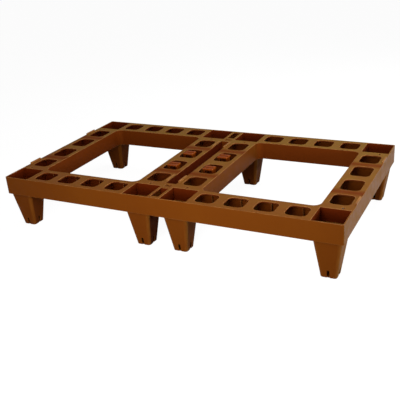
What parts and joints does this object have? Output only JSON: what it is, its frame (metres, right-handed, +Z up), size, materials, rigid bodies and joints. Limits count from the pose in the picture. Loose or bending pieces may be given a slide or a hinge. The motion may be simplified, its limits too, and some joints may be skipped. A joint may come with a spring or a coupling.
{
  "type": "hive stand",
  "caption": "Low moulded-plastic stand for beehives side by side: perforated open decks locked by bow-tie keys, hollow tapered snap-in legs and lift-out link clips.",
  "frame": {"origin": "on the ground, under the middle of the stand", "axes": "+X to the right along the length, +Y to the rear, +Z up"},
  "size_m": [0.95, 0.53, 0.152],
  "materials": {
    "frame_plastic": "satin moulded",
    "leg_plastic": "satin moulded",
    "key_plastic": "satin moulded",
    "clip_plastic": "glossy moulded"
  },
  "bodies": {
    "stand": {"left_frame": "frame_plastic", "right_frame": "frame_plastic", "front_key": "key_plastic", "rear_key": "key_plastic", "left_front_outer_leg": "leg_plastic", "left_front_inner_leg": "leg_plastic", "left_rear_outer_leg": "leg_plastic", "left_rear_inner_leg": "leg_plastic", "right_front_outer_leg": "leg_plastic", "right_front_inner_leg": "leg_plastic", "right_rear_outer_leg": "leg_plastic", "right_rear_inner_leg": "leg_plastic"},
    "left_front_clip": {"left_front_clip": "clip_plastic"},
    "left_rear_clip": {"left_rear_clip": "clip_plastic"},
    "right_front_clip": {"right_front_clip": "clip_plastic"},
    "right_rear_clip": {"right_rear_clip": "clip_plastic"}
  },
  "joints": [
    {"name": "left_front_clip_lift", "type": "slide", "parent": "stand", "child": "left_front_clip", "axis": [0, 0, 1], "range_m": [0, 0.05]},
    {"name": "left_rear_clip_lift", "type": "slide", "parent": "stand", "child": "left_rear_clip", "axis": [0, 0, 1], "range_m": [0, 0.05]},
    {"name": "right_front_clip_lift", "type": "slide", "parent": "stand", "child": "right_front_clip", "axis": [0, 0, 1], "range_m": [0, 0.05]},
    {"name": "right_rear_clip_lift", "type": "slide", "parent": "stand", "child": "right_rear_clip", "axis": [0, 0, 1], "range_m": [0, 0.05]}
  ]
}
